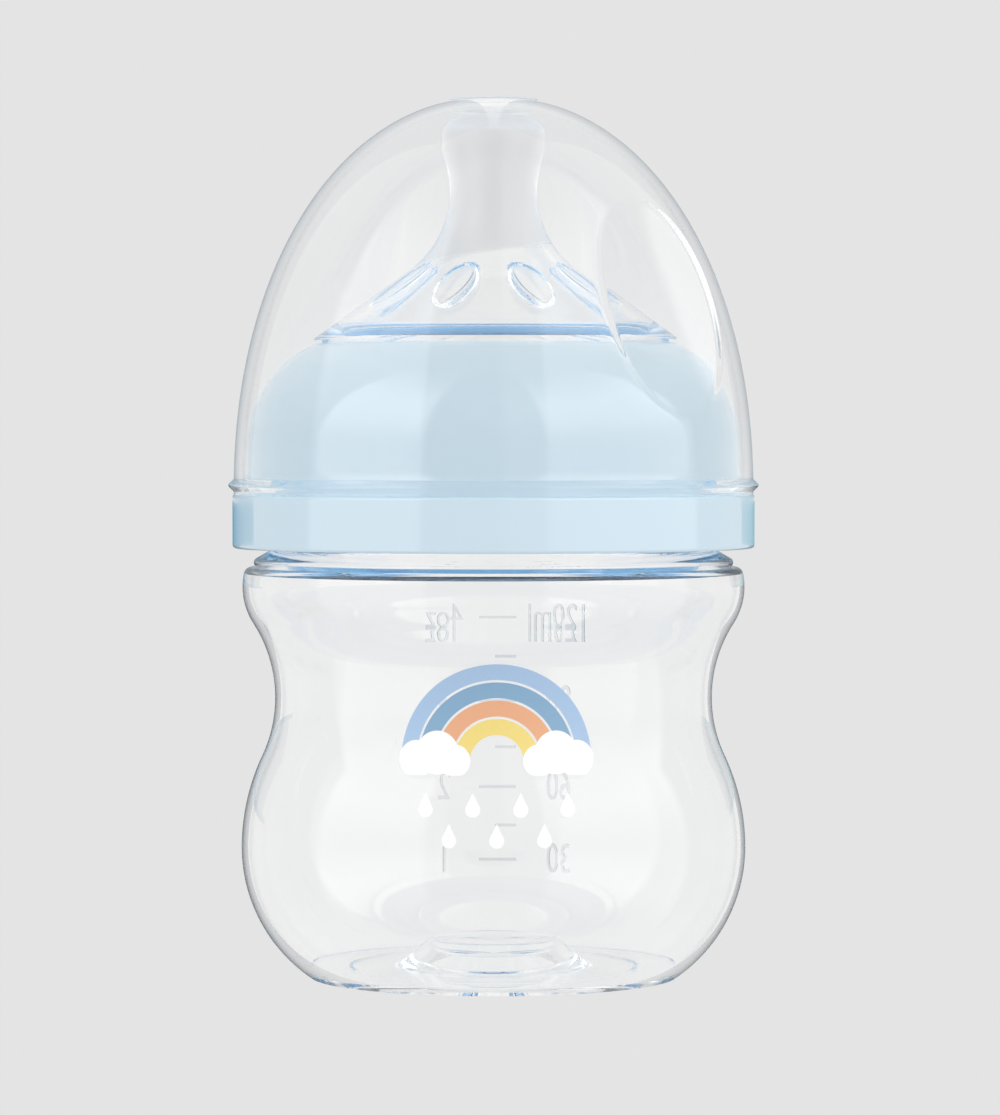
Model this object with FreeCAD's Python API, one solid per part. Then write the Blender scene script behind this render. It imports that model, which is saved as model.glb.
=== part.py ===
"""Baby bottle: a clear hourglass bottle, a silicone teat, a screw collar and a clear push-on dome cap.

Millimetres, +Z up, origin on the table under the middle of the bottle. The front of the bottle faces -Y.
Every piece is a half section turned about Z, and the pieces stack from the table upwards.
"""

import FreeCAD, Part
import math
import os

# Bottle body up to its shoulder: levels are shares of its height, and its girth follows the neck
BODY_HEIGHT = 53.7
BELLY_SHARE = 0.317
WAIST_SHARE = 0.682
WAIST_ARC_SHARE = 0.335
WAIST_DEPTH = 4.25
BELLY_OVER_BULGE = 0.15
FOOT_STEP = 9.0
FOOT_RING_WIDTH = 5.0
FOOT_RECESS = 0.5
BULGE_OVER_BEAD = 1.35
BULGE_TO_SHOULDER = 2.6
SHOULDER_CORNER_R = 1.0
BOTTLE_WALL = 1.0
FLOOR_THICKNESS = 1.3

# Gate hump in the middle of the bottle's floor
HUMP_FOOT_R = 12.4
HUMP_TOP_R = 8.2
HUMP_HEIGHT = 5.0
HUMP_DISH = 0.5
HUMP_FOOT_ROUND = 2.4
HUMP_TOP_ROUND = 1.3
PUNT_R = 8.8
PUNT_TOP_R = 7.0
PUNT_HEIGHT = 2.5
PUNT_ROUND = 0.8

# Neck of the bottle
NECK_R = 29.2
NECK_WALL = 2.0
NECK_HEIGHT = 16.8
NECK_ROOT_ROUND = 1.2
RIM_ROUND = 0.5
BEAD_REACH = 2.3
BEAD_UNDERCUT = 0.3
BEAD_EDGE_HEIGHT = 0.9
BEAD_HEIGHT = 2.2

# Screw collar
THREAD_ROOM = 1.4
COLLAR_ABOVE_SHOULDER = 2.5
COLLAR_WALL = 1.6
BAND_WIDTH = 1.95
BAND_HEIGHT = 7.1
BAND_ROUND = 0.45
DOME_BELOW_RIM = 1.0
DOME_ARC_R = 14.5
LIP_STEP = 9.4
LIP_ROUND = 0.55
CLAMP_RING_WALL = 1.5
MOUTH_CHAMFER = 0.6

# Silicone teat
FLANGE_THICKNESS = 1.8
FLANGE_MARGIN = 0.7
TEAT_WALL = 1.6
SKIRT_ROUND = 1.5
GROOVE_GAP = 0.15
SEAT_OVERLAP = 0.7
SEAT_EDGE = 0.3
CONE_ANGLE = 35.5
FLARE_ARC_R = 12.5
NIPPLE_NECK_R = 5.75
BULB_R = 6.8
BULB_RISE = 6.7
BULB_SIDE = 1.1
TIP_ARC_R = 16.0
TIP_ROUND = 1.8
FEED_HOLE_R = 0.35
PETAL_COUNT = 8
PETAL_WIDTH = 5.4
PETAL_LENGTH = 7.6
PETAL_RISE = 0.9
PETAL_CENTRE_R = 12.5
VENT_COUNT = 2
VENT_R = 1.7
VENT_HOLE_R = 0.5
VENT_LENGTH = 2.6

# Clear dome cap
CAP_WALL = 1.1
CAP_ROOM = 0.7
CAP_TIP_ROOM = 0.95
CAP_DOME_POWER = 2.1
CAP_PAD_R = 5.7
CAP_PAD_DROP = 0.4
CAP_BEAD_REACH = 0.8
CAP_BEAD_HEIGHT = 1.6
CAP_BEAD_ABOVE_RIM = 1.1
CAP_BEAD_ROUND = 0.3
SNAP_RISE = 0.3
SNAP_HEIGHT = 1.2
SNAP_ABOVE_LEDGE = 1.4
SCOOP_ACROSS_R = 80.0
SCOOP_ALONG_R = 180.0
SCOOP_DEPTH = 2.45
SCOOP_ABOVE_RIM = 25.2
SCOOP_AZIMUTH = 48.0
SCOOP_BARREL_HALF = 24.0

# Room between faces that pass each other
CLEARANCE = 0.3

# Levels, from the table up
BELLY_Z = BELLY_SHARE * BODY_HEIGHT
WAIST_Z = WAIST_SHARE * BODY_HEIGHT
WAIST_ARC_R = WAIST_ARC_SHARE * BODY_HEIGHT
SHOULDER_Z = BODY_HEIGHT
BULGE_Z = SHOULDER_Z - BULGE_TO_SHOULDER
RIM_Z = SHOULDER_Z + NECK_HEIGHT
CLAMP_Z = RIM_Z + FLANGE_THICKNESS
COLLAR_Z = SHOULDER_Z + COLLAR_ABOVE_SHOULDER
LEDGE_Z = COLLAR_Z + BAND_HEIGHT

# Radii that follow from the fits
NECK_BORE_R = NECK_R - NECK_WALL
BEAD_R = NECK_R + BEAD_REACH
BULGE_R = BEAD_R + BULGE_OVER_BEAD
WAIST_R = BULGE_R - WAIST_DEPTH
BELLY_R = BULGE_R + BELLY_OVER_BULGE
FOOT_R = BELLY_R - FOOT_STEP
COLLAR_BORE_R = NECK_R + THREAD_ROOM
DOME_R = COLLAR_BORE_R + COLLAR_WALL
BAND_R = DOME_R + BAND_WIDTH
LIP_HOLE_R = DOME_R - LIP_STEP
CLAMP_RING_R = NECK_BORE_R
FLANGE_R = NECK_R + FLANGE_MARGIN
CAP_BORE_R = DOME_R + CAP_ROOM
CAP_R = CAP_BORE_R + CAP_WALL

# Centre and inner radius of the collar's dome arc, and the top of the lip where it ends
DOME_ARC_X = DOME_R - DOME_ARC_R
DOME_ARC_Z = RIM_Z - DOME_BELOW_RIM
DOME_INNER_ARC_R = DOME_ARC_R - COLLAR_WALL
LIP_TOP_Z = DOME_ARC_Z + math.sqrt(DOME_ARC_R**2 - (LIP_HOLE_R - DOME_ARC_X) ** 2)

CAP_CURVE_POINTS = 13
FULL_TURN = 360.0
SAME_POINT = 1e-6
AXIS = FreeCAD.Vector(0, 0, 1)
ORIGIN = FreeCAD.Vector(0, 0, 0)


def at(radius, height):
    """A point of a half section."""
    return FreeCAD.Vector(radius, 0, height)


def line(start, end):
    """A straight edge."""
    return Part.LineSegment(start, end).toShape()


def arc(centre, start, end):
    """The short arc about a centre."""
    towards = (start - centre).normalize() + (end - centre).normalize()
    middle = centre + towards.normalize() * (start - centre).Length
    return Part.Arc(start, middle, end).toShape()


def rounded(corners):
    """Straight runs through (radius, height) corners; a third number rounds that corner."""
    points = [at(corner[0], corner[1]) for corner in corners]
    edges = []
    last = points[0]
    for before, here, after, corner in zip(points, points[1:], points[2:], corners[1:]):
        entry, leave = here, here
        if len(corner) > 2:
            back = (before - here).normalize()
            ahead = (after - here).normalize()
            half = back.getAngle(ahead) / 2
            entry = here + back * (corner[2] / math.tan(half))
            leave = here + ahead * (corner[2] / math.tan(half))
            centre = here + (back + ahead).normalize() * (corner[2] / math.sin(half))
        if (entry - last).Length > SAME_POINT:
            edges.append(line(last, entry))
        if len(corner) > 2:
            edges.append(arc(centre, entry, leave))
        last = leave
    edges.append(line(last, points[-1]))
    return edges


def joined(*stretches):
    """One list of edges from stretches, with a straight run wherever two of them do not meet."""
    edges = list(stretches[0])
    for stretch in stretches[1:]:
        gap_from = edges[-1].lastVertex(True).Point
        gap_to = stretch[0].firstVertex(True).Point
        if (gap_to - gap_from).Length > SAME_POINT:
            edges.append(line(gap_from, gap_to))
        edges.extend(stretch)
    return edges


def turned(edges):
    """The solid of a closed half section turned about Z."""
    wire = Part.Wire(joined(edges, [edges[0]])[:-1])
    solid = Part.Face(wire).revolve(ORIGIN, AXIS, FULL_TURN)
    solid.fix(SAME_POINT, SAME_POINT, SAME_POINT)
    return solid


def between_centres(first, second, radius):
    """The point at a radius from the first centre, on the line to the second."""
    return first + (second - first).normalize() * radius


def following_radius(step, rise, radius):
    """The radius of the arc that takes over from a tangent one, over a sideways step and a rise."""
    return (step**2 + rise**2) / (2 * step) - radius


def body_side(inset):
    """The bottle's side from its foot to its shoulder, moved inwards by a wall thickness."""
    foot_radius = (FOOT_STEP**2 + BELLY_Z**2) / (2 * FOOT_STEP)
    belly_radius = following_radius(BELLY_R - WAIST_R, WAIST_Z - BELLY_Z, WAIST_ARC_R)
    bulge_radius = following_radius(BULGE_R - WAIST_R, BULGE_Z - WAIST_Z, WAIST_ARC_R)
    foot = at(BELLY_R - foot_radius, BELLY_Z)
    belly = at(BELLY_R - belly_radius, BELLY_Z)
    waist = at(WAIST_R + WAIST_ARC_R, WAIST_Z)
    bulge = at(BULGE_R - bulge_radius, BULGE_Z)
    floor_z = FLOOR_THICKNESS if inset else 0.0
    floor_edge = at(foot.x + math.sqrt((foot_radius - inset) ** 2 - (foot.z - floor_z) ** 2), floor_z)
    equator = at(BELLY_R - inset, BELLY_Z)
    belly_to_waist = between_centres(waist, belly, WAIST_ARC_R + inset)
    waist_to_bulge = between_centres(waist, bulge, WAIST_ARC_R + inset)
    edges = [
        arc(foot, floor_edge, equator),
        arc(belly, equator, belly_to_waist),
        arc(waist, belly_to_waist, waist_to_bulge),
    ]
    if inset:
        rise = BULGE_TO_SHOULDER - inset
        top = at(bulge.x + math.sqrt((bulge_radius - inset) ** 2 - rise**2), BULGE_Z + rise)
        return edges + [arc(bulge, waist_to_bulge, top)]
    rise = BULGE_TO_SHOULDER - SHOULDER_CORNER_R
    reach = math.sqrt((bulge_radius - SHOULDER_CORNER_R) ** 2 - rise**2)
    corner = at(bulge.x + reach, SHOULDER_Z - SHOULDER_CORNER_R)
    bulge_to_corner = between_centres(bulge, corner, bulge_radius)
    edges.append(arc(bulge, waist_to_bulge, bulge_to_corner))
    edges.append(arc(corner, bulge_to_corner, at(corner.x, SHOULDER_Z)))
    return edges


def backwards(edges):
    """The same chain of lines and arcs, run from its end to its start."""
    turned_round = []
    for edge in reversed(edges):
        start, end = edge.firstVertex(True).Point, edge.lastVertex(True).Point
        middle = edge.valueAt((edge.FirstParameter + edge.LastParameter) / 2)
        straight = ((start + end) / 2 - middle).Length < SAME_POINT
        turned_round.append(line(end, start) if straight else Part.Arc(end, middle, start).toShape())
    return turned_round


def make_bottle():
    """The clear body, from the gate hump in its floor to the rim of its plain neck."""
    ring_r = FOOT_R - FOOT_RING_WIDTH
    underside = rounded([
        (0, PUNT_HEIGHT),
        (PUNT_TOP_R, PUNT_HEIGHT, PUNT_ROUND),
        (PUNT_R, FOOT_RECESS, PUNT_ROUND),
        (ring_r - FOOT_RECESS, FOOT_RECESS),
        (ring_r, 0),
        (FOOT_R, 0),
    ])
    neck = rounded([
        (BEAD_R - BEAD_UNDERCUT, SHOULDER_Z),
        (BEAD_R, SHOULDER_Z + BEAD_EDGE_HEIGHT, BEAD_UNDERCUT),
        (NECK_R, SHOULDER_Z + BEAD_HEIGHT),
        (NECK_R, RIM_Z, RIM_ROUND),
        (NECK_BORE_R, RIM_Z, RIM_ROUND),
        (NECK_BORE_R, SHOULDER_Z - BOTTLE_WALL, NECK_ROOT_ROUND),
        (NECK_BORE_R + 2 * NECK_ROOT_ROUND, SHOULDER_Z - BOTTLE_WALL),
    ])
    floor = rounded([
        (ring_r, FLOOR_THICKNESS),
        (HUMP_FOOT_R, FLOOR_THICKNESS, HUMP_FOOT_ROUND),
        (HUMP_TOP_R, HUMP_HEIGHT, HUMP_TOP_ROUND),
        (0, HUMP_HEIGHT - HUMP_DISH),
    ])
    inside = backwards(body_side(BOTTLE_WALL))
    return turned(joined(underside, body_side(0.0), neck, inside, floor))


def on_collar_dome(arc_radius, height):
    """The point of an arc about the collar dome's centre, at a height."""
    return at(DOME_ARC_X + math.sqrt(arc_radius**2 - (height - DOME_ARC_Z) ** 2), height)


def under_collar_dome(radius):
    """The point of the collar dome's inner face at a radius."""
    return at(radius, DOME_ARC_Z + math.sqrt(DOME_INNER_ARC_R**2 - (radius - DOME_ARC_X) ** 2))


def make_collar():
    """The screw collar: a band with a ledge for the cap, under a dome that holds the teat's flange down."""
    dome = at(DOME_ARC_X, DOME_ARC_Z)
    side_top = at(DOME_R, DOME_ARC_Z)
    bore_top = at(COLLAR_BORE_R, DOME_ARC_Z)
    lip_edge = on_collar_dome(DOME_ARC_R, LIP_TOP_Z - LIP_ROUND)
    under_lip = under_collar_dome(LIP_HOLE_R)
    ring_inner = under_collar_dome(CLAMP_RING_R)
    ring_outer = under_collar_dome(CLAMP_RING_R + CLAMP_RING_WALL)
    snap_z = LEDGE_Z + SNAP_ABOVE_LEDGE
    outside = rounded([
        (COLLAR_BORE_R + MOUTH_CHAMFER, COLLAR_Z),
        (BAND_R, COLLAR_Z, BAND_ROUND),
        (BAND_R, LEDGE_Z, BAND_ROUND),
        (DOME_R, LEDGE_Z),
        (DOME_R, snap_z),
        (DOME_R + SNAP_RISE, snap_z + SNAP_HEIGHT / 2),
        (DOME_R, snap_z + SNAP_HEIGHT),
        (DOME_R, side_top.z),
    ])
    lip = rounded([
        (lip_edge.x, lip_edge.z),
        (LIP_HOLE_R, LIP_TOP_Z, LIP_ROUND),
        (LIP_HOLE_R, under_lip.z),
    ])
    ring = rounded([
        (ring_inner.x, ring_inner.z),
        (ring_inner.x, CLAMP_Z),
        (ring_outer.x, CLAMP_Z),
        (ring_outer.x, ring_outer.z),
    ])
    bore = rounded([
        (COLLAR_BORE_R, bore_top.z),
        (COLLAR_BORE_R, COLLAR_Z + MOUTH_CHAMFER),
        (COLLAR_BORE_R + MOUTH_CHAMFER, COLLAR_Z),
    ])
    return turned(joined(
        outside,
        [arc(dome, side_top, lip_edge)],
        lip,
        [arc(dome, under_lip, ring_inner)],
        ring,
        [arc(dome, ring_outer, bore_top)],
        bore,
    ))


def teat_points():
    """Centres and heights that shape the teat above the collar, by name."""
    angle = math.radians(CONE_ANGLE)
    outward = at(math.sin(angle), math.cos(angle))
    seat = at(LIP_HOLE_R + SEAT_OVERLAP, LIP_TOP_Z + GROOVE_GAP + SEAT_EDGE)
    cone_run = seat.x - NIPPLE_NECK_R - FLARE_ARC_R * (1 - outward.x)
    neck_z = seat.z + cone_run * math.tan(angle) + FLARE_ARC_R * outward.z
    bulb_radius = following_radius(BULB_R - NIPPLE_NECK_R, BULB_RISE, FLARE_ARC_R)
    round_z = neck_z + BULB_RISE + BULB_SIDE
    tip_drop = math.sqrt((TIP_ARC_R - TIP_ROUND) ** 2 - (BULB_R - TIP_ROUND) ** 2)
    return {
        "outward": outward,
        "seat": seat,
        "flare": at(NIPPLE_NECK_R + FLARE_ARC_R, neck_z),
        "bulb": at(BULB_R - bulb_radius, neck_z + BULB_RISE),
        "corner": at(BULB_R - TIP_ROUND, round_z),
        "tip_arc": at(0, round_z - tip_drop),
        "tip": at(0, round_z - tip_drop + TIP_ARC_R),
    }


def teat_cone(inset):
    """The teat's cone, flare, bulb and tip, from its seat to the axis, moved inwards by a wall thickness."""
    points = teat_points()
    flare, bulb, corner, tip_arc = points["flare"], points["bulb"], points["corner"], points["tip_arc"]
    start = points["seat"] - points["outward"] * inset
    cone_top = flare - points["outward"] * (FLARE_ARC_R + inset)
    flare_to_bulb = between_centres(flare, bulb, FLARE_ARC_R + inset)
    equator = at(BULB_R - inset, bulb.z)
    side_top = at(BULB_R - inset, corner.z)
    corner_to_tip = between_centres(tip_arc, corner, TIP_ARC_R - inset)
    return [
        line(start, cone_top),
        arc(flare, cone_top, flare_to_bulb),
        arc(bulb, flare_to_bulb, equator),
        line(equator, side_top),
        arc(corner, side_top, corner_to_tip),
        arc(tip_arc, corner_to_tip, points["tip"] - AXIS * inset),
    ]


def teat_shell():
    """The teat's skin, from the flange on the bottle's rim to the tip."""
    skirt_r = CLAMP_RING_R - CLEARANCE
    skirt_arc_r = DOME_INNER_ARC_R - CLEARANCE
    skirt_top = on_collar_dome(skirt_arc_r, under_collar_dome(LIP_HOLE_R).z - CLEARANCE)
    skirt_turn = at(skirt_r, DOME_ARC_Z + math.sqrt(skirt_arc_r**2 - (skirt_r - DOME_ARC_X) ** 2))
    groove_r = LIP_HOLE_R - CLEARANCE
    seat_r = LIP_HOLE_R + SEAT_OVERLAP
    seat_z = LIP_TOP_Z + GROOVE_GAP
    outer_cone = teat_cone(0.0)
    inner_cone = teat_cone(TEAT_WALL)
    cone_start = inner_cone[0].firstVertex(True).Point
    inner_groove_r = groove_r - TEAT_WALL
    groove_top = cone_start.z + (cone_start.x - inner_groove_r) * math.tan(math.radians(CONE_ANGLE))
    inner_cone[0] = line(at(inner_groove_r, groove_top), inner_cone[0].lastVertex(True).Point)
    flange = rounded([
        (skirt_r - TEAT_WALL, RIM_Z),
        (FLANGE_R, RIM_Z, RIM_ROUND),
        (FLANGE_R, CLAMP_Z, RIM_ROUND),
        (skirt_r, CLAMP_Z),
        (skirt_turn.x, skirt_turn.z),
    ])
    groove = rounded([
        (skirt_top.x, skirt_top.z),
        (groove_r, skirt_top.z),
        (groove_r, seat_z),
        (seat_r, seat_z),
        (seat_r, seat_z + SEAT_EDGE),
    ])
    inside = rounded([
        (inner_groove_r, groove_top),
        (inner_groove_r, skirt_top.z - TEAT_WALL, SKIRT_ROUND),
        (skirt_r - TEAT_WALL, skirt_turn.z - TEAT_WALL, SKIRT_ROUND),
        (skirt_r - TEAT_WALL, RIM_Z),
    ])
    skirt = [arc(at(DOME_ARC_X, DOME_ARC_Z), skirt_turn, skirt_top)]
    return turned(joined(flange, skirt, groove, outer_cone, backwards(inner_cone), inside))


def petal():
    """One oval swelling on the inside of the cone, which keeps the teat from folding shut."""
    angle = math.radians(CONE_ANGLE)
    start = teat_cone(TEAT_WALL)[0].firstVertex(True).Point
    place = at(PETAL_CENTRE_R, start.z + (start.x - PETAL_CENTRE_R) * math.tan(angle))
    sizes = FreeCAD.Matrix()
    sizes.scale(PETAL_LENGTH / 2, PETAL_WIDTH / 2, PETAL_RISE)
    swelling = Part.makeSphere(1.0).transformGeometry(sizes)
    swelling.rotate(ORIGIN, FreeCAD.Vector(0, 1, 0), CONE_ANGLE)
    swelling.translate(place)
    return swelling


def around(shape, count, first_angle):
    """Copies of a shape at equal steps about Z."""
    copies = []
    for number in range(count):
        copy = shape.copy()
        copy.rotate(ORIGIN, AXIS, first_angle + number * FULL_TURN / count)
        copies.append(copy)
    return copies


def make_teat():
    """The silicone teat with its petals, its vents in the skirt and the feed hole in its tip."""
    skirt_r = CLAMP_RING_R - CLEARANCE
    vent_z = (CLAMP_Z + under_collar_dome(CLAMP_RING_R).z) / 2
    inwards = FreeCAD.Vector(-1, 0, 0)
    vent_foot = at(skirt_r - TEAT_WALL / 2, vent_z)
    vent = Part.makeCone(VENT_R, VENT_HOLE_R * 2, VENT_LENGTH, vent_foot, inwards)
    vent_hole = Part.makeCylinder(VENT_HOLE_R, TEAT_WALL + VENT_LENGTH, at(skirt_r, vent_z), inwards)
    swellings = around(petal(), PETAL_COUNT, FULL_TURN / PETAL_COUNT / 2) + around(vent, VENT_COUNT, 0.0)
    holes = around(vent_hole, VENT_COUNT, 0.0)
    feed_hole = Part.makeCylinder(FEED_HOLE_R, 2 * TEAT_WALL, teat_points()["tip"] - AXIS * 1.5 * TEAT_WALL)
    return teat_shell().fuse(swellings).cut(holes + [feed_hole])


def cap_rise():
    """The height of the cap's dome above its rim, which leaves room over the teat's tip."""
    return teat_points()["tip"].z + CAP_TIP_ROOM + CAP_WALL - LEDGE_Z


def cap_curve(radius, rise, start_radius):
    """The dome's half outline from a radius near the axis down to the rim, as a super-ellipse."""
    points = []
    first = math.acos((start_radius / radius) ** (CAP_DOME_POWER / 2))
    for number in range(CAP_CURVE_POINTS):
        angle = first * (1 - number / (CAP_CURVE_POINTS - 1))
        reach = radius * math.cos(angle) ** (2 / CAP_DOME_POWER)
        points.append(at(reach, LEDGE_Z + rise * math.sin(angle) ** (2 / CAP_DOME_POWER)))
    curve = Part.BSplineCurve()
    curve.interpolate(points)
    return curve.toShape()


def scoop(extra):
    """The leaning barrel that hollows the dome for a thumb, fatter by a wall thickness for the inner face."""
    share = SCOOP_ABOVE_RIM / cap_rise()
    reach = CAP_R * (1 - share**CAP_DOME_POWER) ** (1 / CAP_DOME_POWER)
    lean = math.atan((share * CAP_R / reach) ** (CAP_DOME_POWER - 1) * CAP_R / cap_rise())
    waist = at(SCOOP_ACROSS_R + extra, 0)
    side_centre = at(SCOOP_ACROSS_R - SCOOP_ALONG_R, 0)
    end_r = side_centre.x + math.sqrt((SCOOP_ALONG_R + extra) ** 2 - SCOOP_BARREL_HALF**2)
    lower, upper = at(end_r, -SCOOP_BARREL_HALF), at(end_r, SCOOP_BARREL_HALF)
    ends = rounded([(0, -SCOOP_BARREL_HALF), (lower.x, lower.z)])
    top = rounded([(upper.x, upper.z), (0, SCOOP_BARREL_HALF), (0, -SCOOP_BARREL_HALF)])
    barrel = turned(joined(ends, [Part.Arc(lower, waist, upper).toShape()], top))
    outward = at(math.cos(lean), math.sin(lean))
    barrel.rotate(ORIGIN, FreeCAD.Vector(0, 1, 0), -math.degrees(lean))
    barrel.translate(at(reach, LEDGE_Z + SCOOP_ABOVE_RIM) + outward * (SCOOP_ACROSS_R - SCOOP_DEPTH))
    barrel.rotate(ORIGIN, AXIS, SCOOP_AZIMUTH - 90)
    return barrel


def cap_core(curve, top_edges):
    """The solid under a dome outline, closed by its rim plane and the axis."""
    rim = line(at(curve.lastVertex(True).Point.x, LEDGE_Z), at(0, LEDGE_Z))
    top = (top_edges or [curve])[0].firstVertex(True).Point
    return turned(joined(top_edges + [curve], [rim], [line(at(0, LEDGE_Z), top)]))


def make_dome_cap():
    """The clear cap: a super-elliptic dome with a rim bead, a flat pad on top and one scooped hollow."""
    rise = cap_rise()
    outer_curve = cap_curve(CAP_R, rise, CAP_PAD_R)
    inner_curve = cap_curve(CAP_BORE_R, rise - CAP_WALL, 0.0)
    pad_z = LEDGE_Z + rise - CAP_PAD_DROP
    pad_edge = outer_curve.firstVertex(True).Point
    pad = rounded([(0, pad_z), (CAP_PAD_R, pad_z), (CAP_PAD_R, pad_edge.z)])
    bead_z = LEDGE_Z + CAP_BEAD_ABOVE_RIM
    bead = rounded([
        (CAP_BORE_R, LEDGE_Z),
        (CAP_R, LEDGE_Z),
        (CAP_R, bead_z - CAP_BEAD_HEIGHT / 2),
        (CAP_R + CAP_BEAD_REACH, bead_z, CAP_BEAD_ROUND),
        (CAP_R, bead_z + CAP_BEAD_HEIGHT / 2),
        (CAP_R - CAP_WALL / 2, bead_z),
    ])
    outer = cap_core(outer_curve, pad).cut(scoop(0.0))
    inner = cap_core(inner_curve, []).cut(scoop(CAP_WALL))
    return outer.fuse(turned(bead)).cut(inner)


def main():
    os.makedirs("parts", exist_ok=True)
    pieces = {
        "bottle": make_bottle(),
        "teat": make_teat(),
        "collar": make_collar(),
        "dome_cap": make_dome_cap(),
    }
    for name, shape in pieces.items():
        print(name, shape.isValid(), round(shape.Volume), len(shape.Solids), shape.optimalBoundingBox())
        shape.exportStep(f"parts/{name}.step")


main()
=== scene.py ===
"""Looks of a baby bottle: clear body, silicone teat, pale blue screw collar and clear dome cap.

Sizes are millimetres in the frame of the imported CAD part, with +Z up and the printed front facing -Y.
Four pieces stand for the CAD nodes, with the moulded detail that the plain solids leave out.
The vents, the volume scale and the print are pieces of their own.
"""

import math

import bmesh
import bpy
import numpy as np
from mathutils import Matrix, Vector


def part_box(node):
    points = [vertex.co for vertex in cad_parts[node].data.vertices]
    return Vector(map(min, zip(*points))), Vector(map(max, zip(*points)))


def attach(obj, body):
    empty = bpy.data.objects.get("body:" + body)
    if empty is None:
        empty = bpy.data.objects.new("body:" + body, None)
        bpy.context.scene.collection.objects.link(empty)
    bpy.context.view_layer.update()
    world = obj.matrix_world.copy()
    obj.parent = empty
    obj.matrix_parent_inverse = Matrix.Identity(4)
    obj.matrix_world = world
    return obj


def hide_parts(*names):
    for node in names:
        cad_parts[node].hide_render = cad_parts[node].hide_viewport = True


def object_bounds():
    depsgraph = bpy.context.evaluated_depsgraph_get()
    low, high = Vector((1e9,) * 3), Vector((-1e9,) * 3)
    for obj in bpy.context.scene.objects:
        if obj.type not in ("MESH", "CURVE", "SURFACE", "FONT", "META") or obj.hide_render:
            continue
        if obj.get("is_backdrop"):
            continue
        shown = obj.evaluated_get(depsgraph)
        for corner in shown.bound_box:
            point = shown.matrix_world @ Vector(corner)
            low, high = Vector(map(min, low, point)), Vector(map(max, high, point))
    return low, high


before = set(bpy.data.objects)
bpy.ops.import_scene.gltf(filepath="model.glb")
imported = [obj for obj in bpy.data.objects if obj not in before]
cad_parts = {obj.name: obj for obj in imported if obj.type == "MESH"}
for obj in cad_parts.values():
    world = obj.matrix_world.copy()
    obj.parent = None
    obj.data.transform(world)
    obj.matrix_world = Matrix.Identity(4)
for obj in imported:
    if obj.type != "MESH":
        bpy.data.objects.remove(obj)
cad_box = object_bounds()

MM = 0.001
LOW, HIGH = 0, 1


def reach(node):
    """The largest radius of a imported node."""
    return max(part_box(node)[HIGH].xy) / MM


def level(node, end):
    """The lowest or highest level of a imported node."""
    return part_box(node)[end].z / MM


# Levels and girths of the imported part
RIM_Z = level("bottle", HIGH)
BELLY_R = reach("bottle")
COLLAR_Z = level("collar", LOW)
BAND_R = reach("collar")
FLANGE_R = reach("teat")
TIP_Z = level("teat", HIGH)
LEDGE_Z = level("dome_cap", LOW)
CAP_BEAD_R = reach("dome_cap")

# Bottle body up to its shoulder: the belly and the waist follow its height
NECK_HEIGHT = 16.8
BELLY_SHARE = 0.317
WAIST_SHARE = 0.682
WAIST_ARC_SHARE = 0.335
WAIST_DEPTH = 4.25
BELLY_OVER_BULGE = 0.15
BULGE_OVER_BEAD = 1.35
BULGE_TO_SHOULDER = 2.6
SHOULDER_CORNER_R = 1.0
FOOT_STEP = 9.0
FOOT_RING_WIDTH = 5.0
FOOT_RECESS = 0.5
BOTTLE_WALL = 1.0
FLOOR_THICKNESS = 1.3
SHOULDER_Z = RIM_Z - NECK_HEIGHT
BELLY_Z = BELLY_SHARE * SHOULDER_Z
WAIST_Z = WAIST_SHARE * SHOULDER_Z
WAIST_ARC_R = WAIST_ARC_SHARE * SHOULDER_Z
BULGE_Z = SHOULDER_Z - BULGE_TO_SHOULDER
BULGE_R = BELLY_R - BELLY_OVER_BULGE
WAIST_R = BULGE_R - WAIST_DEPTH
FOOT_R = BELLY_R - FOOT_STEP

# Gate hump in the bottle's floor, and the hollow under it
HUMP_FOOT_R = 12.4
HUMP_TOP_R = 8.2
HUMP_HEIGHT = 5.0
HUMP_DISH = 0.5
HUMP_FOOT_ROUND = 2.4
HUMP_TOP_ROUND = 1.3
PUNT_R = 8.8
PUNT_TOP_R = 7.0
PUNT_HEIGHT = 2.5
PUNT_ROUND = 0.8

# Neck
NECK_WALL = 2.0
NECK_ROOT_ROUND = 1.2
RIM_ROUND = 0.5
BEAD_REACH = 2.3
BEAD_UNDERCUT = 0.3
BEAD_EDGE_HEIGHT = 0.9
BEAD_HEIGHT = 2.2
BEAD_ROUND = 0.6
BEAD_R = BULGE_R - BULGE_OVER_BEAD
NECK_R = BEAD_R - BEAD_REACH
NECK_BORE_R = NECK_R - NECK_WALL

# Screw thread, right-handed, with the collar's turns half a lead above the neck's
THREAD_LEAD = 6.0
THREAD_RISE = 0.9
THREAD_WIDTH = 2.4
THREAD_CREST = 0.9
THREAD_FADE_TURNS = 0.06
NECK_THREAD_TURNS = (0.0, 1.4)
COLLAR_THREAD_TURNS = (-0.7, 1.0)
NECK_THREAD_Z = 59.5
COLLAR_THREAD_Z = NECK_THREAD_Z + THREAD_LEAD / 2
OUTER_THREAD, INNER_THREAD = 1, -1

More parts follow.
